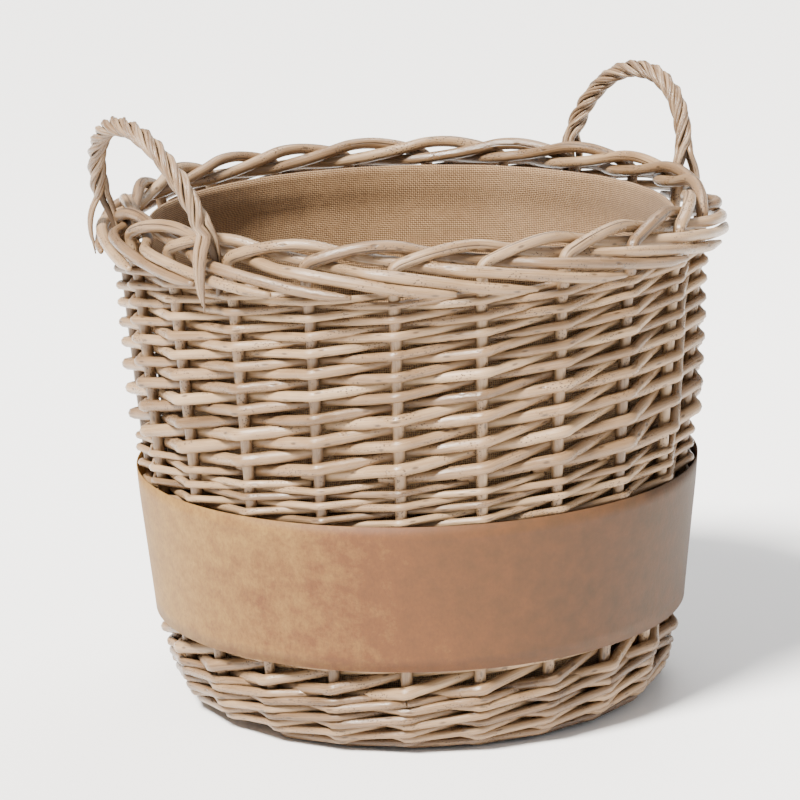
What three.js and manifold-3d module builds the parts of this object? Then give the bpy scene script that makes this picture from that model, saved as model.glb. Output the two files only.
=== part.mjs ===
// Round willow log basket: stakes, woven bands, a rolled rod border, two roped handles,
// a hessian lining and a card sleeve. Units are millimetres, +Z is up, the floor is z = 0.
import * as THREE from 'three';
import { mergeVertices } from 'three/addons/utils/BufferGeometryUtils.js';
import Module from 'manifold-3d';

const wasm = await Module();
wasm.setup();

// ---- driving dimensions ----
const stakeCount = 22;
const stakeRadius = 4.3;
const clearance = 0.35;
const rodSides = 5;
const roundSegments = 2 * stakeCount;

// Centre line of a stake below the border: how far out it is at each height.
const wallBend = 176;
const wallLine = [
  { radius: 185, height: 22 },
  { radius: 190, height: 35 },
  { radius: 193, height: 48 },
  { radius: 209, height: wallBend },
  { radius: 222.5, height: 350 },
];
const butt = { innerRadius: 128, height: 9 };
const stakeBend = [
  { radius: butt.innerRadius, height: butt.height },
  { radius: 164, height: butt.height },
  { radius: 173, height: 10.6 },
  { radius: 180.5, height: 15 },
];
const base = { innerRadius: 36, outerRadius: 150, bottom: 2, top: 16 };

// The weave passes in front of one stake and behind the next.
const weave = { stand: 8.3, halfThickness: 3.1, flatPart: 0.235, gap: 0.3 };
const bands = [
  { name: 'upsett_wale', heights: [22, 35, 48] },
  { name: 'lower_randing', heights: [48, 90, 132, 175, 217] },
  { name: 'upper_randing', heights: [217, 244, 270, 297, 323, 350] },
];

// The border is made of the stakes' own tops. Along is counted in stakes from the rod's own
// stake, out is the distance from the ring that the stakes reach at the rim.
const rimRing = 228;
const borderRoute = [
  { along: 0, out: -3, height: 362 },
  { along: 0, out: -1, height: 374 },
  { along: 0.03, out: -1, height: 383 },
  { along: 0.12, out: -1.5, height: 390 },
  { along: 0.28, out: -2, height: 393.6 },
  { along: 0.55, out: -3, height: 394.8 },
  { along: 0.8, out: -7, height: 394 },
  { along: 1, out: -10.5, height: 392.4 },
  { along: 1.3, out: -11.5, height: 390 },
  { along: 1.65, out: -11.5, height: 385 },
  { along: 2, out: -11.5, height: 379.5 },
  { along: 2.28, out: -8.5, height: 377 },
  { along: 2.5, out: 1, height: 376 },
  { along: 2.7, out: 11, height: 375 },
  { along: 3, out: 15.5, height: 372.5 },
  { along: 3.5, out: 16.6, height: 367.5 },
  { along: 4, out: 16.4, height: 362 },
  { along: 4.4, out: 14.5, height: 358 },
  { along: 4.72, out: 11, height: 355.5 },
];

const rope = { coreRadius: 3.2, strandRadius: 2.9, strandCount: 4, lay: 7.2, stepsPerTurn: 8 };
const legSeat = 300;
const footRing = 236;
const footHeight = 392;
const firstWrap = 0.085;
const archSteps = 24;
const handles = [
  {
    name: 'left_handle',
    feet: [{ stake: -1.86, legRing: 234.6 }, { stake: 0.85, legRing: 231.4 }],
    apexHeight: 472,
    apexReach: 242,
    turns: 3.5,
  },
  {
    name: 'right_handle',
    feet: [{ stake: 10.14, legRing: 234.6 }, { stake: 12.14, legRing: 234.6 }],
    apexHeight: 463,
    apexReach: 246,
    turns: 3,
  },
];

const liner = {
  thickness: 1.4,
  behindWall: 12.2,
  bottom: 20,
  shoulder: 342,
  rimBottom: 358,
  rimRadius: 204.4,
  top: 380,
  baseRadius: 170.5,
  baseHeight: 17,
};
const sleeve = { bottom: 72, top: 187, thickness: 1, inFront: 12.2 };

// ---- looks ----
const willow = { color: 0xa8937a, roughness: 0.62, metalness: 0 };
const paleWillow = { color: 0xb7a48c, roughness: 0.6, metalness: 0 };
const hessian = { color: 0x9c8568, roughness: 0.95, metalness: 0 };
const kraftCard = { color: 0xa9825c, roughness: 0.8, metalness: 0 };

const basket = new THREE.Group();

function addPart(name, geometry, look) {
  const part = new THREE.Mesh(geometry, new THREE.MeshStandardMaterial(look));
  part.name = name;
  basket.add(part);
}

// A point given by its place round the basket in stakes, its distance out and its height.
function place(stakes, radius, height) {
  const angle = -Math.PI / 2 + (stakes * 2 * Math.PI) / stakeCount;
  return new THREE.Vector3(radius * Math.sin(angle), -radius * Math.cos(angle), height);
}

function wallRadius(height) {
  const above = wallLine.findIndex((point) => point.height > height);
  const upper = above < 0 ? wallLine.length - 1 : Math.max(1, above);
  const low = wallLine[upper - 1];
  const high = wallLine[upper];
  const share = (height - low.height) / (high.height - low.height);
  return THREE.MathUtils.lerp(low.radius, high.radius, share);
}

// A curve that an extrusion follows point by point, so that bends keep their own spacing.
class RodCurve extends THREE.CatmullRomCurve3 {
  constructor(points) {
    super(points, false, 'centripetal');
  }

  getUtoTmapping(u) {
    return u;
  }
}

function rodGeometry(points, radius) {
  const section = new THREE.Shape();
  for (let side = 0; side < rodSides; side += 1) {
    const angle = (2 * Math.PI * side) / rodSides;
    const move = side === 0 ? 'moveTo' : 'lineTo';
    section[move](radius * Math.cos(angle), radius * Math.sin(angle));
  }
  return new THREE.ExtrudeGeometry(section, {
    extrudePath: new RodCurve(points),
    steps: points.length - 1,
    bevelEnabled: false,
  });
}

// A turned solid from an outline of [radius, height] pairs that goes anticlockwise.
function turnedGeometry(outline) {
  const points = outline.map(([radius, height]) => new THREE.Vector2(radius, height));
  const closed = outline[0][0] === 0 ? points : [...points, points[0]];
  return new THREE.LatheGeometry(closed, roundSegments).rotateX(Math.PI / 2);
}

function solidOf(geometry) {
  const bare = geometry.clone();
  bare.deleteAttribute('normal');
  bare.deleteAttribute('uv');
  const merged = mergeVertices(bare, 1e-4);
  const vertProperties = new Float32Array(merged.attributes.position.array);
  const triVerts = new Uint32Array(merged.index.array);
  return new wasm.Manifold(new wasm.Mesh({ numProp: 3, vertProperties, triVerts }));
}

function geometryOf(solid) {
  const mesh = solid.getMesh();
  const geometry = new THREE.BufferGeometry();
  geometry.setAttribute('position', new THREE.BufferAttribute(mesh.vertProperties, 3));
  geometry.setIndex(new THREE.BufferAttribute(mesh.triVerts, 1));
  geometry.computeVertexNormals();
  return geometry;
}

// A rod's hole is wide enough for the rod at any turn about its own length.
function tunnelGeometry(points, radius) {
  return rodGeometry(points, (radius + clearance) / Math.cos(Math.PI / rodSides));
}

function cutAway(geometry, cutters) {
  return geometryOf(cutters.reduce((body, cutter) => body.subtract(solidOf(cutter)), solidOf(geometry)));
}

// ---- base: three sticks threaded through slits in three thicker ones, then fanned out ----
const splitStick = { radius: 5.4, direction: 1 };
const threadedStick = { radius: 3.8, direction: 6.5 };
const baseSticks = [
  { kind: splitStick, side: 1, ends: [2.5, 10.5] },
  { kind: splitStick, side: 0, ends: [0.5, 11.5] },
  { kind: splitStick, side: -1, ends: [-0.5, 13.5] },
  { kind: threadedStick, side: 1, ends: [8.5, 15.5] },
  { kind: threadedStick, side: 0, ends: [6.5, 17.5] },
  { kind: threadedStick, side: -1, ends: [4.5, 19.5] },
];
const stickSpacing = 13.5;
const stickReach = 146;

function baseStickPoints({ kind, side, ends }) {
  const along = place(kind.direction, 1, 0);
  const across = place(kind.direction + stakeCount / 4, side * stickSpacing, butt.height);
  const middle = [24, -24].map((step) => across.clone().addScaledVector(along, step));
  const [near, far] = ends;
  return [
    place(near, stickReach, butt.height),
    place(near, 56, butt.height),
    ...middle,
    place(far, 56, butt.height),
    place(far, stickReach, butt.height),
  ];
}

function addBase() {
  const threaded = baseSticks.filter((stick) => stick.kind === threadedStick);
  const slits = threaded.map((stick) => tunnelGeometry(baseStickPoints(stick), threadedStick.radius));
  baseSticks.forEach((stick, index) => {
    const rod = rodGeometry(baseStickPoints(stick), stick.kind.radius);
    const shape = stick.kind === splitStick ? cutAway(rod, slits) : rod;
    addPart(`base_stick_${index + 1}`, shape, willow);
  });

  const disc = turnedGeometry([
    [base.innerRadius, base.bottom],
    [base.outerRadius, base.bottom],
    [base.outerRadius, base.top],
    [base.innerRadius, base.top],
  ]);
  const stickTunnels = baseSticks.map((stick) => tunnelGeometry(baseStickPoints(stick), stick.kind.radius));
  const buttTunnels = [];
  for (let stake = 0; stake < stakeCount; stake += 1) {
    const inner = place(stake, butt.innerRadius - clearance, butt.height);
    const outer = place(stake, base.outerRadius + 2, butt.height);
    buttTunnels.push(tunnelGeometry([inner, outer], stakeRadius));
  }
  addPart('base_weave', cutAway(disc, [...stickTunnels, ...buttTunnels]), willow);
}

// The first round of thick rods under the bend of the stakes: the basket stands on it.
function addFootWale() {
  const outline = [
    [158, 0],
    [178, 0],
    [188, 5],
    [195.5, 16],
    [196.4, 21.6],
    [190.6, 21.6],
    [186.4, 14.2],
    [178, 5.6],
    [158, 4],
  ];
  addPart('foot_wale', turnedGeometry(outline), willow);
}

// ---- stakes: butt in the base, up the wall, then down into the border ----
function stakePoints(stake) {
  const bend = stakeBend.map(({ radius, height }) => place(stake, radius, height));
  const wall = wallLine.map(({ radius, height }) => place(stake, radius, height));
  const border = borderRoute.map(({ along, out, height }) => place(stake + along, rimRing + out, height));
  return [...bend, ...wall, ...border];
}

function addStakes() {
  for (let stake = 0; stake < stakeCount; stake += 1) {
    const number = String(stake + 1).padStart(2, '0');
    addPart(`stake_${number}`, rodGeometry(stakePoints(stake), stakeRadius), paleWillow);
  }
}

// ---- weave: rings that wave in and out between the stakes ----
function weaveOutline(radius, firstInFront, edge) {
  const points = [];
  for (let stake = 0; stake < stakeCount; stake += 1) {
    const side = (stake % 2 === 0) === firstInFront ? 1 : -1;
    const reach = radius + side * weave.stand + edge * weave.halfThickness;
    points.push(place(stake - weave.flatPart, reach, 0), place(stake + weave.flatPart, reach, 0));
  }
  return points.map(({ x, y }) => new THREE.Vector2(x, y));
}

function bandGeometry(bottom, top, firstInFront) {
  const low = wallRadius(bottom);
  const shape = new THREE.Shape(weaveOutline(low, firstInFront, 1));
  shape.holes.push(new THREE.Path(weaveOutline(low, firstInFront, -1)));
  const geometry = new THREE.ExtrudeGeometry(shape, { depth: top - bottom, bevelEnabled: false });
  const corners = geometry.attributes.position;
  for (let index = 0; index < corners.count; index += 1) {
    const height = corners.getZ(index) + bottom;
    const lean = wallRadius(height) - low;
    const reach = Math.hypot(corners.getX(index), corners.getY(index));
    const scale = (reach + lean) / reach;
    corners.setXYZ(index, corners.getX(index) * scale, corners.getY(index) * scale, height);
  }
  return geometry;
}

function addBands(legCutters) {
  const rimHeight = wallLine.at(-1).height;
  let firstInFront = true;
  for (const { name, heights } of bands) {
    for (let row = 1; row < heights.length; row += 1) {
      const bottom = heights[row - 1] + weave.gap / 2;
      const top = heights[row] - weave.gap / 2;
      const ring = bandGeometry(bottom, top, firstInFront);
      const shape = heights[row] === rimHeight ? cutAway(ring, legCutters) : ring;
      addPart(`${name}_${row}`, shape, willow);
      firstInFront = !firstInFront;
    }
  }
}

// ---- handles: a bow whose legs go down through the border, wrapped in twisted rods ----
function archPoint(handle, share) {
  const [start, end] = handle.feet;
  const middle = (start.stake + end.stake) / 2;
  const halfAngle = ((end.stake - start.stake) * Math.PI) / stakeCount;
  const outward = place(middle, 1, 0);
  const sideways = new THREE.Vector3(-outward.y, outward.x, 0);
  const rise = Math.sin(Math.PI * share);
  const footReach = footRing * Math.cos(halfAngle);
  const reach = THREE.MathUtils.lerp(footReach, handle.apexReach, rise);
  const side = -footRing * Math.sin(halfAngle) * Math.cos(Math.PI * share);
  const height = THREE.MathUtils.lerp(footHeight, handle.apexHeight, rise);
  const point = outward.clone().multiplyScalar(reach).addScaledVector(sideways, side);
  return point.setZ(height);
}

function legPoints({ stake, legRing }) {
  return [
    place(stake, wallRadius(legSeat), legSeat),
    place(stake, wallRadius(330), 330),
    place(stake, wallRadius(340) + 2.5, 340),
    place(stake, legRing - 5, 349),
    place(stake, legRing - 1, 358),
    place(stake, legRing, 368),
    place(stake, legRing + 0.3, 382),
  ];
}

function bowPoints(handle) {
  const arch = [];
  for (let step = 0; step <= archSteps; step += 1) {
    arch.push(archPoint(handle, step / archSteps));
  }
  const [start, end] = handle.feet;
  return [...legPoints(start), ...arch, ...legPoints(end).reverse()];
}

// The part of a strand that leaves the rope: down outside the border, or over it to the inside.
function strandEnd(foot, sideStakes, isOutside) {
  const outside = [
    [245, 405],
    [250.2, 397],
    [252.8, 387],
    [253, 372],
    [251.5, 357],
  ];
  const inside = [
    [228.5, 406.6],
    [221, 404.6],
    [212.4, 400],
    [207.4, 390.5],
    [207.6, 377],
    [208, 363],
  ];
  const route = isOutside ? outside : inside;
  return route.map(([radius, height]) => place(foot.stake + sideStakes, radius, height));
}

function strandPoints(handle, strand) {
  const steps = Math.round(handle.turns * rope.stepsPerTurn);
  const startPhase = Math.PI / 4 + (strand * 2 * Math.PI) / rope.strandCount;
  const outward = place((handle.feet[0].stake + handle.feet[1].stake) / 2, 1, 0);
  const wound = [];
  for (let step = 0; step <= steps; step += 1) {
    const share = THREE.MathUtils.lerp(firstWrap, 1 - firstWrap, step / steps);
    const centre = archPoint(handle, share);
    const ahead = archPoint(handle, share + 0.001).sub(archPoint(handle, share - 0.001)).normalize();
    const out = outward.clone().addScaledVector(ahead, -outward.dot(ahead)).normalize();
    const across = ahead.clone().cross(out);
    const phase = startPhase + (2 * Math.PI * handle.turns * step) / steps;
    centre.addScaledVector(out, rope.lay * Math.cos(phase));
    wound.push(centre.addScaledVector(across, rope.lay * Math.sin(phase)));
  }
  const endPhase = startPhase + 2 * Math.PI * handle.turns;
  const sideways = rope.lay / footRing / ((2 * Math.PI) / stakeCount);
  const [start, end] = handle.feet;
  const first = strandEnd(start, sideways * Math.sin(startPhase), Math.cos(startPhase) > 0);
  const last = strandEnd(end, -sideways * Math.sin(endPhase), Math.cos(endPhase) > 0);
  return [...first.reverse(), ...wound, ...last];
}

function addHandles() {
  for (const handle of handles) {
    addPart(`${handle.name}_bow`, rodGeometry(bowPoints(handle), rope.coreRadius), willow);
    for (let strand = 0; strand < rope.strandCount; strand += 1) {
      const shape = rodGeometry(strandPoints(handle, strand), rope.strandRadius);
      addPart(`${handle.name}_strand_${strand + 1}`, shape, paleWillow);
    }
  }
}

function legCutters() {
  const feet = handles.flatMap((handle) => handle.feet);
  return feet.map((foot) => tunnelGeometry(legPoints(foot), rope.coreRadius));
}

// ---- lining and sleeve ----
function wallOutline(heights, offset) {
  return heights.map((height) => [wallRadius(height) + offset, height]);
}

// A thin shell from its outer outline, going up.
function shellGeometry(outer, thickness) {
  const inner = outer.map(([radius, height]) => [radius - thickness, height]);
  return turnedGeometry([...outer, ...inner.reverse()]);
}

function addLiner() {
  const wall = wallOutline([liner.bottom, 35, wallBend, liner.shoulder], -liner.behindWall);
  const rim = [[liner.rimRadius, liner.rimBottom], [liner.rimRadius, liner.top]];
  addPart('liner_side', shellGeometry([...wall, ...rim], liner.thickness), hessian);
  const disc = [
    [0, liner.baseHeight],
    [liner.baseRadius, liner.baseHeight],
    [liner.baseRadius, liner.baseHeight + liner.thickness],
    [0, liner.baseHeight + liner.thickness],
  ];
  addPart('liner_base', turnedGeometry(disc), hessian);
}

function addSleeve() {
  const outer = wallOutline([sleeve.bottom, wallBend, sleeve.top], sleeve.inFront + sleeve.thickness);
  addPart('card_sleeve', shellGeometry(outer, sleeve.thickness), kraftCard);
}

addBase();
addFootWale();
addStakes();
addBands(legCutters());
addHandles();
addLiner();
addSleeve();

export default basket;
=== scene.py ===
import bmesh
import bpy
import math
import random
from mathutils import Matrix, Vector, noise


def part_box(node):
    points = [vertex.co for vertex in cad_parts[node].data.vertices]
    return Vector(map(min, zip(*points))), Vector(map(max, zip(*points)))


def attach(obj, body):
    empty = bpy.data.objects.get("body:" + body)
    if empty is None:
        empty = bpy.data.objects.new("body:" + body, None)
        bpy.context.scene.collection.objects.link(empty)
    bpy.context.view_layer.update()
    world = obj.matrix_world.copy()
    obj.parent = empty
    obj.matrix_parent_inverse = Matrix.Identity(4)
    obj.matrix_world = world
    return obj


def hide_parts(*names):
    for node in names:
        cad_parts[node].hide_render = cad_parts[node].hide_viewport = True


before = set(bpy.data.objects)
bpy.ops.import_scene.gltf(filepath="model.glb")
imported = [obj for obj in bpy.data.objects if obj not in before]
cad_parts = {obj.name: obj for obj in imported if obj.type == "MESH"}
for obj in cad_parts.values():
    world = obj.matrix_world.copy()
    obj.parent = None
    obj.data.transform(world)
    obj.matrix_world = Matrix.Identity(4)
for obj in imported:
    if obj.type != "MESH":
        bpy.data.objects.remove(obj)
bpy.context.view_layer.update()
noise.seed_set(29)  # noise_vector starts from the clock unless it is given a seed
print("frame loaded")

# angles in degrees, azimuth measured from the front of the basket
camera = dict(azimuth=-37.4, distance=3.0, height=0.9613, tilt=13.705, yaw=0.235, roll=1.467, lens=176.8)


def makeCamera():
    stand = math.radians(camera["azimuth"])
    facing = math.radians(camera["azimuth"] + camera["yaw"])
    tilt = math.radians(camera["tilt"])
    roll = math.radians(camera["roll"])
    forward = Vector((-math.sin(facing) * math.cos(tilt), math.cos(facing) * math.cos(tilt), -math.sin(tilt)))
    level = forward.cross(Vector((0, 0, 1))).normalized()
    upright = level.cross(forward)
    right = level * math.cos(roll) - upright * math.sin(roll)
    up = right.cross(forward)
    data = bpy.data.cameras.new("camera")
    data.lens = camera["lens"]
    data.clip_end = 20
    eye = bpy.data.objects.new("camera", data)
    stance = Matrix((right, up, -forward)).transposed().to_4x4()
    stance.translation = (camera["distance"] * math.sin(stand), -camera["distance"] * math.cos(stand),
                          camera["height"])
    eye.matrix_world = stance
    bpy.context.scene.collection.objects.link(eye)
    bpy.context.scene.camera = eye


# side is the turn from the camera round the basket in degrees; the sun's size is its angle in radians
lamps = [
    dict(name="keyLight", kind="SUN", side=-40, away=2.0, height=2.9, size=0.26, power=14.5,
         colour=(1, 0.965, 0.91)),
    dict(name="fillLight", kind="AREA", side=60, away=2.4, height=1.0, size=1.6, power=12,
         colour=(0.96, 0.97, 1)),
    dict(name="backLight", kind="AREA", side=160, away=1.2, height=2.4, size=1.2, power=45,
         colour=(1, 1, 1)),
]


def makeLights():
    middle = Vector((0, 0, 0.22))
    for lamp in lamps:
        data = bpy.data.lights.new(lamp["name"], lamp["kind"])
        if lamp["kind"] == "SUN":
            data.angle = lamp["size"]
        else:
            data.shape = "SQUARE"
            data.size = lamp["size"]
        data.energy = lamp["power"]
        data.color = lamp["colour"]
        light = bpy.data.objects.new(lamp["name"], data)
        turn = math.radians(camera["azimuth"] + lamp["side"])
        spot = Vector((lamp["away"] * math.sin(turn), -lamp["away"] * math.cos(turn), lamp["height"]))
        light.location = spot
        light.rotation_euler = (middle - spot).to_track_quat("-Z", "Y").to_euler()
        bpy.context.scene.collection.objects.link(light)
    world = bpy.data.worlds.new("studio")
    world.use_nodes = True
    sky = world.node_tree.nodes["Background"]
    sky.inputs["Color"].default_value = (1, 1, 1, 1)
    sky.inputs["Strength"].default_value = 0.55
    bpy.context.scene.world = world


def makeFloor():
    mesh = bpy.data.meshes.new("floor")
    shape = bmesh.new()
    bmesh.ops.create_grid(shape, x_segments=2, y_segments=2, size=40)
    shape.to_mesh(mesh)
    shape.free()
    floor = bpy.data.objects.new("floor", mesh)
    bpy.context.scene.collection.objects.link(floor)
    paint = bpy.data.materials.new("paleFloor")
    paint.use_nodes = True
    surface = paint.node_tree.nodes["Principled BSDF"]
    surface.inputs["Base Color"].default_value = (0.93, 0.93, 0.93, 1)
    surface.inputs["Roughness"].default_value = 0.9
    mesh.materials.append(paint)


class Socket:
    # an output of a shader node, so that shader maths can be written as expressions
    def __init__(self, shader, output):
        self.shader = shader
        self.output = output

    def maths(self, operation, first, second=0.0):
        return self.shader.node("ShaderNodeMath", {"operation": operation}, {0: first, 1: second})

    def __add__(self, other):
        return self.maths("ADD", self, other)

    def __radd__(self, other):
        return self.maths("ADD", other, self)

    def __sub__(self, other):
        return self.maths("SUBTRACT", self, other)

    def __rsub__(self, other):
        return self.maths("SUBTRACT", other, self)

    def __mul__(self, other):
        return self.maths("MULTIPLY", self, other)

    def __rmul__(self, other):
        return self.maths("MULTIPLY", other, self)

    def sine(self):
        return self.maths("SINE", self)

    def cosine(self):
        return self.maths("COSINE", self)

    def absolute(self):
        return self.maths("ABSOLUTE", self)

    def fraction(self):
        return self.maths("FRACT", self)

    def larger(self, other):
        return self.maths("MAXIMUM", self, other)


class Shader:
    def __init__(self, name):
        self.material = bpy.data.materials.new(name)
        self.material.use_nodes = True
        self.tree = self.material.node_tree
        self.tree.nodes.clear()

    def node(self, kind, settings=None, inputs=None, output=0):
        made = self.tree.nodes.new(kind)
        for key, value in (settings or {}).items():
            if key == "stops":
                self.setStops(made.color_ramp, value)
            else:
                setattr(made, key, value)
        for key, value in (inputs or {}).items():
            if isinstance(value, Socket):
                self.tree.links.new(value.output, made.inputs[key])
            else:
                made.inputs[key].default_value = value
        return Socket(self, made.outputs[output]) if made.outputs else None

    def setStops(self, ramp, stops):
        for index, (position, colour) in enumerate(stops):
            element = ramp.elements[index] if index < 2 else ramp.elements.new(position)
            element.position = position
            element.color = colour

    def mix(self, amount, first, second):
        return self.node("ShaderNodeMix", {"data_type": "RGBA"}, {0: amount, 6: first, 7: second}, 2)

    def ramp(self, value, stops):
        return self.node("ShaderNodeValToRGB", {"stops": stops}, {0: value})

    def combine(self, *parts):
        return self.node("ShaderNodeCombineXYZ", None, dict(enumerate(parts)))

    def separate(self, vector, part):
        return self.node("ShaderNodeSeparateXYZ", None, {0: vector}, part)

    def smoothStep(self, value, low, high, bottom=0.0, top=1.0):
        return self.node("ShaderNodeMapRange", {"interpolation_type": "SMOOTHSTEP"},
                         {0: value, 1: low, 2: high, 3: bottom, 4: top})

    def noise(self, vector, scale, detail=3.0, roughness=0.55):
        return self.node("ShaderNodeTexNoise", {"noise_dimensions": "3D"},
                         {"Vector": vector, "Scale": scale, "Detail": detail, "Roughness": roughness})

    def cells(self, vector):
        # distance to the nearest of the points scattered one to each unit square
        return self.node("ShaderNodeTexVoronoi", {"feature": "F1", "voronoi_dimensions": "2D"},
                         {"Vector": vector, "Scale": 1.0})

    def bump(self, height, strength, distance):
        return self.node("ShaderNodeBump", None,
                         {"Height": height, "Strength": strength, "Distance": distance})

    def finish(self, inputs):
        surface = self.node("ShaderNodeBsdfPrincipled", None, inputs)
        self.node("ShaderNodeOutputMaterial", None, {"Surface": surface})
        return self.material


def linear(red, green, blue):
    # screen values from 0 to 255 as the linear colour that shaders use
    def toLinear(value):
        value = value / 255
        return value / 12.92 if value <= 0.04045 else ((value + 0.055) / 1.055) ** 2.4
    return (toLinear(red), toLinear(green), toLinear(blue), 1)


willowLooks = dict(
    # colours are screen values, cracks is the stretch of a rod that is split, in metres from its butt
    weaver=dict(pale=(176, 147, 113), middle=(137, 109, 79), deep=(76, 55, 36), rough=0.33, cracks=None),
    stake=dict(pale=(172, 144, 111), middle=(134, 107, 78), deep=(76, 55, 36), rough=0.34,
               cracks=(0.43, 0.53)),
    handle=dict(pale=(164, 138, 108), middle=(126, 101, 76), deep=(66, 48, 33), rough=0.32, cracks=None),
    # the handle's bow under the strands is coloured darker than the rods, as painted shade for the grooves of
    # the rope
    shadedCore=dict(pale=(104, 82, 58), middle=(80, 61, 42), deep=(48, 35, 24), rough=0.60, cracks=None),
    base=dict(pale=(140, 113, 84), middle=(114, 89, 64), deep=(72, 53, 36), rough=0.60, cracks=None),
)


def willowMaterial(name, look):
    # rodMap holds metres along the rod and turns round it, rodTone one random number for each rod
    shader = Shader(name)
    rodMap = shader.node("ShaderNodeUVMap", {"uv_map": "rodMap"})
    along = shader.separate(rodMap, 0)
    turn = shader.separate(rodMap, 1)
    tone = shader.node("ShaderNodeAttribute", {"attribute_name": "rodTone"}, None, 2)
    angle = turn * (2 * math.pi)
    seed = tone * 37.0
    streakSpace = shader.combine(along * 9.0 + seed, angle.cosine() * 1.6, angle.sine() * 1.6 + seed)
    skinSpace = shader.combine(along * 55.0 + seed, angle.cosine() * 0.55, angle.sine() * 0.55 + seed)
    streaks = shader.noise(streakSpace, 2.4, 4.0, 0.62)
    fine = shader.noise(streakSpace, 7.0, 3.0, 0.6)
    patches = shader.noise(skinSpace, 0.55, 3.0, 0.5)
    spot = shader.node("ShaderNodeTexCoord", None, None, 3)
    wash = shader.noise(spot, 7.0, 3.0, 0.5)
    # painted shade: the willow is darkened towards the bottom of the basket, below 0.1 m
    paintedLowShade = shader.smoothStep(shader.separate(spot, 2), 0.0, 0.1, 0.17, 0.0)

    pale, middle, deep = (linear(*look[key]) for key in ("pale", "middle", "deep"))
    mixture = streaks * 0.52 + patches * 0.36 + tone * 0.32 + wash * 0.16 - paintedLowShade - 0.20
    colour = shader.ramp(mixture, [(0.16, deep), (0.72, pale), (0.46, middle)])
    fineMask = shader.smoothStep(fine, 0.36, 0.62)
    colour = shader.mix((1 - fineMask) * 0.2, colour, linear(92, 66, 44))

    marks = barkMarks(shader, along, turn, seed, skinSpace)
    if look["cracks"]:
        marks = marks.larger(cracks(shader, along, turn, tone, streaks, *look["cracks"]) * 0.9)
    colour = shader.mix(marks, colour, linear(52, 36, 24))

    relief = streaks * 0.5 + fine * 0.35 + patches * 0.5 - marks * 0.9
    normal = shader.bump(relief, 0.5, 0.0011)
    rough = shader.smoothStep(patches, 0.3, 0.75, look["rough"] - 0.1, look["rough"] + 0.12)
    return shader.finish({"Base Color": colour, "Roughness": rough, "Normal": normal,
                          "Specular IOR Level": 0.5})


def barkMarks(shader, along, turn, seed, skinSpace):
    # pin specks in drifts, and now and then a leaf scar
    dots = shader.cells(shader.combine(along * 340.0 + seed, turn * 11.0 + seed))
    drift = shader.smoothStep(shader.noise(skinSpace, 0.8, 2.0), 0.52, 0.62)
    specks = shader.smoothStep(dots, 0.13, 0.27, 1.0, 0.0) * drift
    scarDots = shader.cells(shader.combine(along * 26.0 + seed, turn * 2.0 + seed))
    scars = shader.smoothStep(scarDots, 0.03, 0.10, 1.0, 0.0)
    return (specks * 0.85).larger(scars * 0.7)


def cracks(shader, along, turn, tone, streaks, start, end):
    # three thin splits along the stretch of a rod that is bent hard
    waver = (turn * 3.0 + tone * 7.0 + streaks * 0.25).fraction()
    line = shader.smoothStep((waver - 0.5).absolute(), 0.02, 0.075, 1.0, 0.0)
    begins = shader.smoothStep(along, start, start + 0.01)
    ends = shader.smoothStep(along, end - 0.04, end, 1.0, 0.0)
    return line * begins * ends


layout = dict(stakes=22, stakeRadius=0.0044, rodSeat=0.0035, bandStand=0.0114, bandFlat=0.235)
stakeStep = 2 * math.pi / layout["stakes"]
bandNames = ["upsett_wale_1", "upsett_wale_2"]
bandNames += [f"lower_randing_{row}" for row in range(1, 5)]
bandNames += [f"upper_randing_{row}" for row in range(1, 6)]
# the stakes lie under the base and turn up at its edge: distance out and height
stakeBend = [(0.120, 0.0092), (0.150, 0.0092), (0.164, 0.0095), (0.173, 0.0116), (0.180, 0.0160)]


def place(stakes, radius, height):
    # a point by its place round the basket in stakes, its distance out and its height
    angle = -math.pi / 2 + stakes * stakeStep
    return Vector((radius * math.sin(angle), -radius * math.cos(angle), height))


def bandReach(name):
    # how far out the centres of the stakes are at the top of a woven band
    low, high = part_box(name)
    corner = max(high[0], -low[0]) / math.cos(layout["bandFlat"] * stakeStep)
    return corner - layout["bandStand"], high[2]


def makeWallLine():
    firstLow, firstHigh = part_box(bandNames[0])
    foot = (bandReach(bandNames[0])[0] - 0.005, firstLow[2])
    corners = stakeBend + [foot] + [bandReach(name) for name in bandNames]
    points = [Vector((radius, height, 0)) for radius, height in corners]
    return smoothPath(points, 5)


def smoothPath(points, perStep):
    # a centripetal curve through the points, so that uneven spacing doesn't make it swing out
    padded = [points[0] * 2 - points[1]] + list(points) + [points[-1] * 2 - points[-2]]
    path = []
    for first, start, end, last in zip(padded, padded[1:], padded[2:], padded[3:]):
        knots = [0.0]
        for near, far in ((first, start), (start, end), (end, last)):
            knots.append(knots[-1] + max((far - near).length, 1e-6) ** 0.5)
        for step in range(perStep):
            knot = knots[1] + (knots[2] - knots[1]) * step / perStep
            path.append(splinePoint((first, start, end, last), knots, knot))
    path.append(points[-1].copy())
    return path


def splinePoint(points, knots, knot):
    def between(left, right, low, high):
        return left * ((high - knot) / (high - low)) + right * ((knot - low) / (high - low))
    outer = [between(points[i], points[i + 1], knots[i], knots[i + 1]) for i in range(3)]
    inner = [between(outer[i], outer[i + 1], knots[i], knots[i + 2]) for i in range(2)]
    return between(inner[0], inner[1], knots[1], knots[2])


wallLine = makeWallLine()
wallNormals = []
for index, point in enumerate(wallLine):
    ahead = wallLine[min(index + 1, len(wallLine) - 1)] - wallLine[max(index - 1, 0)]
    wallNormals.append(Vector((ahead.y, -ahead.x, 0)).normalized())
rodStand = 0.0073  # from the middle of a stake to the middle of a rod in front of it
wallClimb = [0.0]
for index in range(1, len(wallLine)):
    here = wallLine[index] + wallNormals[index] * rodStand
    before = wallLine[index - 1] + wallNormals[index - 1] * rodStand
    wallClimb.append(wallClimb[-1] + (here - before).length)


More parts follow.
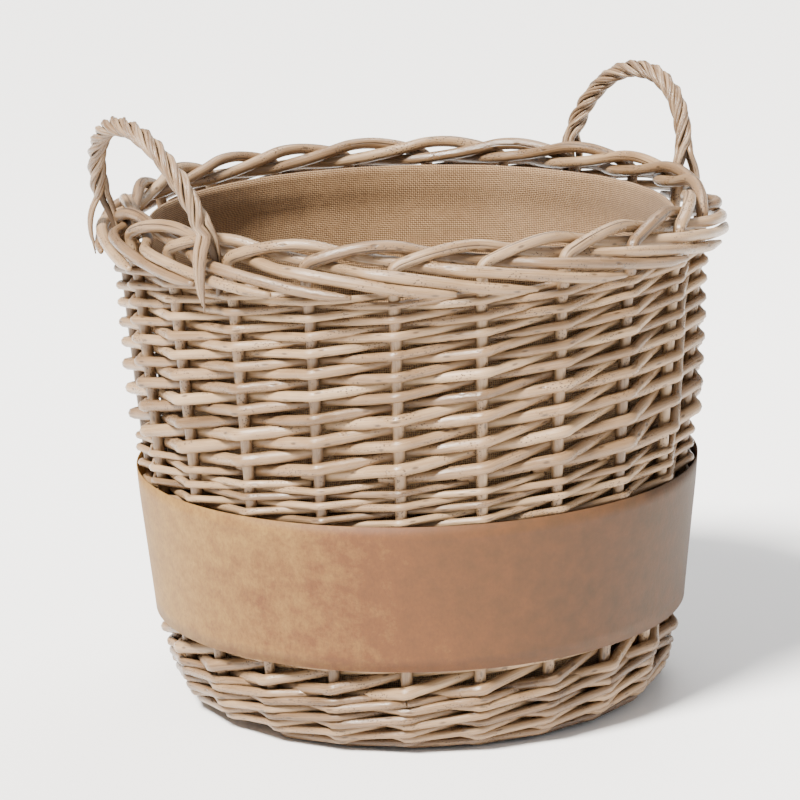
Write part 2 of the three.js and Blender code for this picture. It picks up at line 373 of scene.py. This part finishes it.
def wallAt(climb):
    # the middle of a stake and the way out from it, at a distance up the outside of the wall
    index = 1
    while index < len(wallClimb) - 1 and wallClimb[index] < climb:
        index += 1
    share = (climb - wallClimb[index - 1]) / (wallClimb[index] - wallClimb[index - 1])
    return (wallLine[index - 1].lerp(wallLine[index], share),
            wallNormals[index - 1].lerp(wallNormals[index], share).normalized())


def climbAt(height):
    for index in range(1, len(wallLine)):
        top = wallLine[index] + wallNormals[index] * rodStand
        if top.y >= height and wallLine[index].x > 0.165:
            low = wallLine[index - 1] + wallNormals[index - 1] * rodStand
            share = (height - low.y) / (top.y - low.y)
            return wallClimb[index - 1] + share * (wallClimb[index] - wallClimb[index - 1])
    return wallClimb[-1] + height - wallLine[-1].y


def onWall(stakes, climb, out):
    middle, outward = wallAt(climb)
    point = middle + outward * out
    return place(stakes, point.x, point.y)


def roundedPath(corners, share, steps, straight):
    # goes straight between its corners and bends shortly at each; corners are (point, radius)
    path = [corners[0]]
    for (before, _), (corner, radius), (after, _) in zip(corners, corners[1:], corners[2:]):
        start, end = corner.lerp(before, share), corner.lerp(after, share)
        control = corner * 2 - (start + end) * 0.5
        for step in range(steps + 1):
            part = step / steps
            point = start.lerp(control, part).lerp(control.lerp(end, part), part)
            path.append((point, radius))
    path.append(corners[-1])
    filled = [path[0]]
    for (near, nearRadius), (far, farRadius) in zip(path, path[1:]):
        if (far - near).length > 0.012:
            for step in range(1, straight + 1):
                part = step / (straight + 1)
                filled.append((near.lerp(far, part), nearRadius + (farRadius - nearRadius) * part))
        filled.append((far, farRadius))
    return filled


def wobble(path, amount, reach, seed):
    # bends and swells a rod a little, as grown rods do
    shift = Vector((seed * 7.3, seed * 3.1, seed * 5.7))
    moved = []
    for point, radius in path:
        bend = noise.noise_vector(point * reach + shift)
        swell = noise.noise(point * (reach * 1.7) + shift)
        moved.append((point + bend * amount, radius * (1 + 0.09 * swell)))
    return moved


def rodPiece(name, rods, sides, material):
    # rods are (path, tone), and a path is a list of (point, radius)
    curve = bpy.data.curves.new(name, "CURVE")
    curve.dimensions = "3D"
    curve.fill_mode = "FULL"
    curve.bevel_depth = 1.0
    curve.bevel_resolution = sides // 2 - 2
    curve.use_fill_caps = True
    for path, tone in rods:
        spline = curve.splines.new("POLY")
        spline.points.add(len(path) - 1)
        for point, (spot, radius) in zip(spline.points, path):
            point.co = (*spot, 1)
            point.radius = radius
    holder = bpy.data.objects.new(name, curve)
    bpy.context.scene.collection.objects.link(holder)
    mesh = bpy.data.meshes.new_from_object(holder.evaluated_get(bpy.context.evaluated_depsgraph_get()))
    bpy.data.objects.remove(holder)
    mesh.name = name
    mapRods(mesh, rods, sides)
    closeRods(mesh)
    mesh.materials.clear()
    mesh.materials.append(material)
    piece = bpy.data.objects.new(name, mesh)
    bpy.context.scene.collection.objects.link(piece)
    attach(piece, "root")
    return piece


def mapRods(mesh, rods, sides):
    # the converted mesh has all end caps first, last rod first, then the rods' own walls in order
    owner = []
    for index in reversed(range(len(rods))):
        owner += [index] * (2 * sides)
    for index, (path, tone) in enumerate(rods):
        owner += [index] * (sides * len(path))
    tones = mesh.attributes.new("rodTone", "FLOAT", "POINT")
    tones.data.foreach_set("value", [rods[index][1] for index in owner])
    lengths = []
    for path, tone in rods:
        run = [0.0]
        for (near, _), (far, _) in zip(path, path[1:]):
            run.append(run[-1] + (far - near).length)
        lengths.append(run)
    made = mesh.uv_layers[0]
    made.name = "rodMap"
    corners = [0.0] * (2 * len(mesh.loops))
    made.data.foreach_get("uv", corners)
    vertexOf = [0] * len(mesh.loops)
    mesh.loops.foreach_get("vertex_index", vertexOf)
    for loop, vertex in enumerate(vertexOf):
        run = lengths[owner[vertex]]
        step = corners[2 * loop] * (len(run) - 1)
        low = min(int(step), len(run) - 2)
        corners[2 * loop] = run[low] + (run[low + 1] - run[low]) * (step - low)
    made.data.foreach_set("uv", corners)


def closeRods(mesh):
    shape = bmesh.new()
    shape.from_mesh(mesh)
    bmesh.ops.remove_doubles(shape, verts=shape.verts, dist=1e-6)
    for face in shape.faces:
        face.smooth = True
    bmesh.ops.recalc_face_normals(shape, faces=shape.faces)
    shape.to_mesh(mesh)
    shape.free()


randing = dict(
    upper=dict(name="upperRanding", start=0.2195, first=0.01045, slow=0.00014, thick=0.0050, thin=0.0028,
               strokes=18, tip=0.3, turn=0, seed=11),
    lower=dict(name="lowerRanding", start=0.04264, first=0.0110, slow=0.000142, thick=0.0048, thin=0.0026,
               strokes=22, tip=-0.15, turn=9, seed=23),
)


def weaverPath(band, stake, chance):
    # in front of every other stake, climbing to the right, thick at the start and thin at the end
    corners = []
    strokes = band["strokes"]
    lift = chance.uniform(-0.0006, 0.0006)
    size = chance.uniform(0.94, 1.05)
    for stroke in range(strokes + 1):
        radius = (band["thick"] + (band["thin"] - band["thick"]) * stroke / strokes) * size
        rise = band["first"] * stroke - band["slow"] * stroke * stroke
        side = 1 if stroke % 2 else -1
        height = band["start"] + rise + lift + chance.uniform(-0.0005, 0.0005) - (0.0014 if side < 0 else 0)
        out = side * (layout["rodSeat"] + radius)
        shift = band["tip"] if stroke == strokes else 0
        corners.append((onWall(stake + stroke + shift, climbAt(height), out), radius))
    butt = onWall(stake - 0.28, climbAt(band["start"] + lift), -layout["rodSeat"] - band["thick"] * 1.1)
    corners.insert(0, (butt, band["thick"]))
    return corners


def makeRanding(band, material):
    chance = random.Random(band["seed"])
    rods = []
    for stake in range(layout["stakes"]):
        corners = weaverPath(band, stake + band["turn"], chance)
        path = roundedPath(corners, 0.12, 4, 3)
        rods.append((wobble(path, 0.0007, 22, chance.uniform(0, 9)), chance.random()))
    piece = rodPiece(band["name"], rods, 8, material)
    return piece


wale = dict(name="upsettWale", radius=0.0034, pitch=0.0138, rows=3.3, top=0.0435, rodStakes=17, seed=5)
# three rods a row, each in front of two stakes and behind one: by stakes along, in front or behind
# the stakes, and above or below the middle of the row
waleTurns = {0: (-1, 0), 0.5: (0, -0.25), 1: (1, -0.25), 2: (1, 0.25), 2.5: (0, 0.25)}


def waleRod(first, last, turned, chance):
    # a stretch of one of the three spiral weavers, from one stake to another
    radius = wale["radius"] * chance.uniform(0.95, 1.07)
    topClimb = climbAt(wale["top"])
    corners = []
    for half in range(first * 2, last * 2 + 1):
        stakes = half / 2
        phase = (stakes - turned) % 3
        if phase in waleTurns:
            side, level = waleTurns[phase]
            row = wale["rows"] - stakes / layout["stakes"] - level
            out = side * (layout["stakeRadius"] + radius)
            corners.append((onWall(stakes, topClimb - wale["pitch"] * row, out), radius))
    return corners


def makeWale(material):
    chance = random.Random(wale["seed"])
    rods = []
    total = round(wale["rows"] * layout["stakes"])
    for turned in range(3):
        first = turned
        while first < total:
            last = min(first + wale["rodStakes"] + chance.randint(-2, 2), total + turned)
            path = roundedPath(waleRod(first, last, turned, chance), 0.22, 3, 2)
            rods.append((wobble(path, 0.0005, 25, chance.uniform(0, 9)), chance.random()))
            first = last
    piece = rodPiece(wale["name"], rods, 8, material)
    return piece


border = dict(rimRing=0.228, wallRadius=0.0044, rimRadius=0.00485, tipRadius=0.0043, seed=41)
borderRoute = [
    # stakes along, metres out from the rim ring, height
    (0.00, -0.0030, 0.3620), (0.00, -0.0012, 0.3740), (0.00, -0.0003, 0.3815), (0.06, -0.0010, 0.3854),
    (0.15, -0.0016, 0.3878), (0.33, -0.0030, 0.3916), (0.68, -0.0066, 0.3960), (1.00, -0.0102, 0.3960),
    (1.30, -0.0124, 0.3918), (1.60, -0.0126, 0.3878), (2.00, -0.0118, 0.3840), (2.20, -0.0095, 0.3826),
    (2.45, -0.0020, 0.3813), (2.70, 0.0076, 0.3805), (3.00, 0.0116, 0.3790), (3.50, 0.0126, 0.3744),
    (4.00, 0.0128, 0.3696), (4.40, 0.0142, 0.3664), (4.75, 0.0164, 0.3650),
]


def stakePath(stake, chance):
    wallPoints = [(point, layout["stakeRadius"]) for point in wallLine if point.y < 0.351]
    path = [(place(stake, point.x, point.y), radius) for point, radius in wallPoints]
    lift = chance.uniform(-0.0009, 0.0009)
    reach = chance.uniform(-0.30, 0.05)
    rim = [path[-1][0]]
    for along, out, height in borderRoute:
        stretch = along + reach * max(0, along - 3) / 1.8
        rim.append(place(stake + stretch, border["rimRing"] + out, height + lift))
    smooth = smoothPath(rim, 4)
    size = chance.uniform(0.95, 1.04)
    for index, point in enumerate(smooth[1:]):
        share = index / len(smooth)
        swell = min(1, share * 6)
        radius = border["wallRadius"] + (border["rimRadius"] - border["wallRadius"]) * swell
        radius += (border["tipRadius"] - border["rimRadius"]) * share
        taper = min(1, 0.42 + (len(smooth) - 2 - index) * 0.16)  # the tip is cut on the slant
        path.append((point, radius * size * taper))
    return path


def makeStakes(material):
    chance = random.Random(border["seed"])
    for stake in range(layout["stakes"]):
        number = f"{stake + 1:02d}"
        path = wobble(stakePath(stake, chance), 0.0005, 18, chance.uniform(0, 9))
        piece = rodPiece(f"stakeAndBorderRod{number}", [(path, chance.random())], 12, material)
        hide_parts(f"stake_{number}")


handleShapes = [
    # feet are counted in stakes, short is how much sooner the outside rods end at each foot
    dict(name="leftHandle", node="left_handle", feet=(-1.86, 0.85), apexHeight=0.472, apexReach=0.242,
         turns=3.25, short=(0.013, 0.0), seed=3),
    dict(name="rightHandle", node="right_handle", feet=(10.14, 12.14), apexHeight=0.463, apexReach=0.246,
         turns=2.9, short=(0.006, 0.010), seed=8),
]
handleRope = dict(footRing=0.236, footHeight=0.392, legRing=0.2292, bowRadius=0.0026, rodRadius=0.00162,
                  bundles=4, firstWrap=0.07, pointsPerTurn=18)
# each bundle has three rods: turn from the middle of the bundle and distance from the middle of the rope
bundleRods = [(-0.34, 0.0048), (0.0, 0.0058), (0.34, 0.0048)]


def archPoint(handle, share):
    start, end = handle["feet"]
    outward = place((start + end) / 2, 1, 0)
    sideways = Vector((-outward.y, outward.x, 0))
    halfAngle = (end - start) * stakeStep / 2
    rise = math.sin(math.pi * share)
    footReach = handleRope["footRing"] * math.cos(halfAngle)
    reach = footReach + (handle["apexReach"] - footReach) * rise
    side = -handleRope["footRing"] * math.sin(halfAngle) * math.cos(math.pi * share)
    point = outward * reach + sideways * side
    point.z = handleRope["footHeight"] + (handle["apexHeight"] - handleRope["footHeight"]) * rise
    return point


def archFrame(handle, share):
    outward = place(sum(handle["feet"]) / 2, 1, 0)
    ahead = (archPoint(handle, share + 0.001) - archPoint(handle, share - 0.001)).normalized()
    out = (outward - ahead * outward.dot(ahead)).normalized()
    return out, ahead.cross(out)


def legPoints(foot):
    ring = handleRope["legRing"]
    return [place(foot, ring - 0.0022, 0.355), place(foot, ring + 0.0008, 0.382)]


def makeBow(handle, material):
    steps = 32
    arch = [archPoint(handle, step / steps) for step in range(steps + 1)]
    starts, ends = (legPoints(foot) for foot in handle["feet"])
    points = smoothPath(starts + arch[1:-1] + ends[::-1], 2)
    path = [(point, handleRope["bowRadius"]) for point in points]
    piece = rodPiece(handle["name"] + "Bow", [(path, 0.4)], 10, material)
    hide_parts(handle["node"] + "_bow")


# where the rods go below the rope: distance out, height, and how far they keep apart
outsideEnd = [(0.2425, 0.4030, 0.95), (0.2462, 0.3930, 0.9), (0.2484, 0.3820, 0.8), (0.2487, 0.3700, 0.62),
              (0.2474, 0.3590, 0.42), (0.2455, 0.3500, 0.2)]
insideEnd = [(0.2335, 0.4010, 0.95), (0.2312, 0.3940, 0.9), (0.2292, 0.3860, 0.8),
             (0.2280, 0.3760, 0.7)]


def rodEnd(foot, turn, lay, short, chance):
    # a rod leaves the rope for the outside of the border or for the inside of it
    isOutside = math.cos(turn) > 0
    route = outsideEnd if isOutside else insideEnd
    spread = 1.16 if isOutside else 0.80
    top = route[0][1]
    squeeze = 1 - short / (top - route[-1][1]) if isOutside else 1
    points = []
    for ring, height, apart in route:
        side = spread * apart * lay * math.sin(turn)
        depth = 0.0032 * apart * (abs(math.cos(turn)) - 0.5) * (1 if isOutside else -1)
        points.append(place(foot + side / ring / stakeStep, ring + depth, top - (top - height) * squeeze))
    points[-1].z += chance.uniform(-0.004, 0.004)
    return points


def rodPath(handle, bundle, rod, chance):
    steps = round(handle["turns"] * handleRope["pointsPerTurn"])
    shift, lay = bundleRods[rod]
    phase = 2 * math.pi * (bundle + 0.5) / handleRope["bundles"] + shift
    radius = handleRope["rodRadius"] * chance.uniform(0.88, 1.14)
    drift = Vector((bundle * 5.1, rod * 3.3, handle["seed"]))
    wound = []
    for step in range(steps + 1):
        share = handleRope["firstWrap"] + (1 - 2 * handleRope["firstWrap"]) * step / steps
        out, across = archFrame(handle, share)
        turn = phase + 2 * math.pi * handle["turns"] * step / steps
        sway = noise.noise_vector(drift + Vector((turn * 0.55, 0, 0)))
        turn += 0.16 * sway.x
        reach = lay + 0.0007 * sway.y
        swing = out * math.cos(turn) + across * math.sin(turn)
        wound.append(archPoint(handle, share) + swing * reach)
    endPhase = phase + 2 * math.pi * handle["turns"]
    start, end = handle["feet"]
    first = rodEnd(start, phase, lay, handle["short"][0], chance)
    last = rodEnd(end, -endPhase, lay, handle["short"][1], chance)
    points = smoothPath(first[::-1] + wound + last, 2)
    count = len(points)
    return [(point, radius * min(1, 0.35 + 0.12 * min(index, count - 1 - index)))
            for index, point in enumerate(points)]


def makeHandle(handle, material, shadedCoreMaterial):
    # the bow gets the darker willow, painted shade that shows in the grooves between the bundles
    makeBow(handle, shadedCoreMaterial)
    chance = random.Random(handle["seed"])
    for bundle in range(handleRope["bundles"]):
        rods = []
        for rod in range(len(bundleRods)):
            path = rodPath(handle, bundle, rod, chance)
            rods.append((wobble(path, 0.0003, 40, chance.uniform(0, 9)), chance.random()))
        piece = rodPiece(f"{handle['name']}Strands{bundle + 1}", rods, 8, material)
        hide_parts(f"{handle['node']}_strand_{bundle + 1}")


baseSticks = [
    # thick sticks are slit and the thin ones threaded through them
    dict(thick=True, side=1, ends=(2.5, 10.5)), dict(thick=True, side=0, ends=(0.5, 11.5)),
    dict(thick=True, side=-1, ends=(-0.5, 13.5)), dict(thick=False, side=1, ends=(8.5, 15.5)),
    dict(thick=False, side=0, ends=(6.5, 17.5)), dict(thick=False, side=-1, ends=(4.5, 19.5)),
]
baseLooks = dict(height=0.009, spacing=0.0135, reach=0.146, thick=0.0052, thin=0.0038, rodRadius=0.0023,
                 inner=0.036, outer=0.160, stand=0.0046, seed=17)


def baseStickPath(stick):
    direction = 1 if stick["thick"] else 6.5
    height = baseLooks["height"]
    along = place(direction, 1, 0)
    across = place(direction + layout["stakes"] / 4, stick["side"] * baseLooks["spacing"], height)
    near, far = stick["ends"]
    points = [place(near, baseLooks["reach"], height), place(near, 0.056, height), across + along * 0.024,
              across - along * 0.024, place(far, 0.056, height), place(far, baseLooks["reach"], height)]
    radius = baseLooks["thick"] if stick["thick"] else baseLooks["thin"]
    return [(point, radius) for point in smoothPath(points, 6)]


def baseRing(spokes, radius, startsOver, chance):
    # one of a pair of weavers: over one stick and under the next
    stand = baseLooks["stand"] if startsOver else -baseLooks["stand"]
    points = []
    for index, (near, far) in enumerate(zip(spokes, spokes[1:] + [spokes[0] + layout["stakes"]])):
        for part in (0, 0.25, 0.5, 0.75):
            height = baseLooks["height"] + stand * math.cos(math.pi * (index + part))
            points.append(place(near + (far - near) * part, radius, height))
    points.append(points[0].copy())
    size = baseLooks["rodRadius"] * chance.uniform(0.92, 1.0)
    return [(point, size) for point in smoothPath(points, 2)]


def makeBase(material):
    chance = random.Random(baseLooks["seed"])
    for index, stick in enumerate(baseSticks):
        path = wobble(baseStickPath(stick), 0.0003, 20, index)
        piece = rodPiece(f"baseStick{index + 1}", [(path, chance.random())], 10, material)
        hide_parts(f"base_stick_{index + 1}")
    spokes = sorted(end for stick in baseSticks for end in stick["ends"])
    pitch = baseLooks["rodRadius"] * 2.04
    rings = int((baseLooks["outer"] - baseLooks["inner"]) / pitch)
    rods = []
    for ring in range(rings):
        radius = baseLooks["inner"] + pitch * (ring + 0.5)
        for pair in (0, 1):
            rods.append((baseRing(spokes, radius, (ring + pair) % 2 == 0, chance), chance.random()))
    piece = rodPiece("baseWeave", rods, 6, material)
    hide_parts("base_weave")


lining = dict(behind=0.0139, thickness=0.0012, top=0.380, thread=0.0016)


def hessianMaterial():
    # plain weave: the threads of one way pass over and under those of the other
    shader = Shader("hessian")
    weaveMap = shader.node("ShaderNodeUVMap", {"uv_map": "weaveMap"})
    across = shader.separate(weaveMap, 0)
    up = shader.separate(weaveMap, 1)
    drift = shader.noise(weaveMap, 60.0, 2.0)
    wave = math.pi / lining["thread"]
    warp = ((across + drift * 0.0011) * wave).sine().absolute()
    weft = ((up + drift * 0.0013) * wave).sine().absolute()
    checker = (across * wave).sine() * (up * wave).sine()
    overUnder = shader.smoothStep(checker, -0.25, 0.25)
    thread = warp * overUnder + weft * (1 - overUnder)
    solid = shader.smoothStep(warp * weft, 0.05, 0.35)
    slub = shader.noise(weaveMap, 190.0, 3.0, 0.6)
    tone = shader.ramp(slub * 0.6 + shader.noise(weaveMap, 14.0, 2.0) * 0.4,
                       [(0.25, linear(142, 110, 76)), (0.75, linear(184, 150, 110))])
    # painted shade: the grooves and gaps between the threads take a dark brown
    colour = shader.mix(thread * solid, linear(94, 68, 44), tone)
    normal = shader.bump(thread * solid + slub * 0.25, 0.9, 0.0009)
    return shader.finish({"Base Color": colour, "Roughness": 0.94, "Normal": normal,
                          "Specular IOR Level": 0.12, "Sheen Weight": 0.15})


def spinSheet(name, outline, steps, mapName, thickness, material, shift=None, isFlat=False):
    # turns an outline of (radius, height) into a sheet, maps it in metres and gives it thickness
    shape = bmesh.new()
    verts = [shape.verts.new((0, -radius, height)) for radius, height in outline]
    edges = [shape.edges.new(pair) for pair in zip(verts, verts[1:])]
    bmesh.ops.spin(shape, geom=verts + edges, cent=(0, 0, 0), axis=(0, 0, 1), angle=2 * math.pi,
                   steps=steps, use_merge=True)
    bmesh.ops.remove_doubles(shape, verts=shape.verts, dist=1e-6)
    bmesh.ops.recalc_face_normals(shape, faces=shape.faces)
    mapLayer = shape.loops.layers.uv.new(mapName)
    mean = sum(radius for radius, height in outline) / len(outline)
    for face in shape.faces:
        face.smooth = True
        middle = face.calc_center_median()
        centreTurn = math.atan2(middle.x, -middle.y)
        for loop in face.loops:
            spot = loop.vert.co
            turn = math.atan2(spot.x, -spot.y)
            turn += round((centreTurn - turn) / (2 * math.pi)) * 2 * math.pi
            loop[mapLayer].uv = (spot.x, spot.y) if isFlat else (turn * mean, spot.z)
    if shift:
        for vert in shape.verts:
            shift(vert)
    mesh = bpy.data.meshes.new(name)
    shape.to_mesh(mesh)
    shape.free()
    mesh.materials.append(material)
    piece = bpy.data.objects.new(name, mesh)
    bpy.context.scene.collection.objects.link(piece)
    solid = piece.modifiers.new("thickness", "SOLIDIFY")
    solid.thickness = thickness
    solid.offset = -1
    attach(piece, "root")
    return piece


def makeLining(material):
    wall = [point for point in wallLine if 0.022 < point.y < 0.343]
    outline = [(point.x - lining["behind"], point.y) for point in wall]
    rim = bandReach("upper_randing_5")[0] - 0.0182
    outline += [(rim + 0.0030, 0.351), (rim + 0.0006, 0.358), (rim, 0.366), (rim, 0.374),
                (rim, lining["top"])]

    def rumple(vert):
        out = Vector((vert.co.x, vert.co.y, 0)).normalized()
        turn = math.atan2(vert.co.x, -vert.co.y)
        fold = noise.noise(Vector((math.cos(turn) * 4, math.sin(turn) * 4, vert.co.z * 9)))
        vert.co -= out * (0.0018 * abs(fold))
    side = spinSheet("liningSide", outline, 220, "weaveMap", lining["thickness"], material, rumple)
    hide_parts("liner_side")
    low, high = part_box("liner_base")
    disc = [(0.0005, low[2] + 0.001)]
    disc += [(high[0] * share / 8, low[2] + 0.001) for share in range(1, 9)]
    disc += [(high[0] + 0.0005, low[2] + 0.003)]
    floorSheet = spinSheet("liningBase", disc, 120, "weaveMap", 0.001, material, isFlat=True)
    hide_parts("liner_base")
    return side, floorSheet


# stand is how far out of the middle of the stakes the card is at its bottom and top edges; paintedLightAt is
# the turn in degrees where the card's painted light is strongest
sleeve = dict(thickness=0.0008, stand=(0.0132, 0.0106), meanRing=0.216, paintedLightAt=-126)


def cardMaterial():
    # painted light and shade: the card goes from a lit yellow tan through a redder brown to a shaded darker
    # brown as it goes round, with its own clouds and mottle mixed in
    shader = Shader("kraftCard")
    cardMap = shader.node("ShaderNodeUVMap", {"uv_map": "cardMap"})
    turn = shader.separate(cardMap, 0) * (1 / sleeve["meanRing"]) - math.radians(sleeve["paintedLightAt"])
    stretched = shader.node("ShaderNodeMapping", None, {"Vector": cardMap, "Scale": (1.0, 0.6, 1.0)})
    fibres = shader.noise(stretched, 420.0, 4.0, 0.65)
    mottle = shader.noise(cardMap, 70.0, 5.0, 0.7)
    clouds = shader.noise(cardMap, 9.0, 4.0, 0.6)
    flecks = shader.smoothStep(shader.noise(stretched, 620.0, 2.0), 0.66, 0.76)
    # the cosine of the turn paints light on one side of the card and shade on the other
    share = turn.cosine() * 0.36 + clouds * 0.34 + mottle * 0.56 + 0.04
    tone = shader.ramp(share, [(0.12, linear(64, 46, 27)), (0.92, linear(140, 108, 56)),
                               (0.56, linear(97, 60, 32))])
    grain = shader.mix(shader.smoothStep(fibres, 0.40, 0.66, 0.0, 0.3), tone, linear(76, 48, 30))
    colour = shader.mix(flecks * 0.3, grain, linear(76, 52, 34))
    normal = shader.bump(fibres * 0.4 + mottle * 0.8, 0.5, 0.0008)
    return shader.finish({"Base Color": colour, "Roughness": 0.62, "Normal": normal,
                          "Specular IOR Level": 0.3})


def makeSleeve(material):
    low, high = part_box("card_sleeve")
    bottom, top = low[2], high[2]
    rows = 10
    outline = []
    for row in range(rows + 1):
        height = bottom + (top - bottom) * row / rows
        stand = sleeve["stand"][0] + (sleeve["stand"][1] - sleeve["stand"][0]) * row / rows
        outline.append((stakeRingAt(height) + stand, height))

    def slacken(vert):
        out = Vector((vert.co.x, vert.co.y, 0)).normalized()
        turn = math.atan2(vert.co.x, -vert.co.y)
        wave = noise.noise(Vector((math.cos(turn) * 1.7, math.sin(turn) * 1.7, vert.co.z * 4)))
        vert.co += out * 0.0009 * abs(wave)
    piece = spinSheet("cardSleeve", outline, 176, "cardMap", sleeve["thickness"], material, slacken)
    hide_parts("card_sleeve")


def stakeRingAt(height):
    for low, high in zip(wallLine, wallLine[1:]):
        if low.y <= height <= high.y:
            return low.x + (high.x - low.x) * (height - low.y) / (high.y - low.y)
    return wallLine[-1].x


makeCamera()
makeLights()
makeFloor()
print("camera, lights and floor ready")

materials = {key: willowMaterial(key + "Willow", look) for key, look in willowLooks.items()}
hessian = hessianMaterial()
kraft = cardMaterial()
print("materials ready")

upper = makeRanding(randing["upper"], materials["weaver"])
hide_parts(*[f"upper_randing_{row}" for row in range(1, 6)])
lower = makeRanding(randing["lower"], materials["weaver"])
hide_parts(*[f"lower_randing_{row}" for row in range(1, 5)])
upsett = makeWale(materials["weaver"])
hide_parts("upsett_wale_1", "upsett_wale_2", "foot_wale")
print("woven wall ready")

makeStakes(materials["stake"])
print("stakes and border ready")
for handle in handleShapes:
    makeHandle(handle, materials["handle"], materials["shadedCore"])
print("handles ready")
makeBase(materials["base"])
print("base ready")
liningSide, liningBase = makeLining(hessian)
makeSleeve(kraft)
print("lining and sleeve ready")
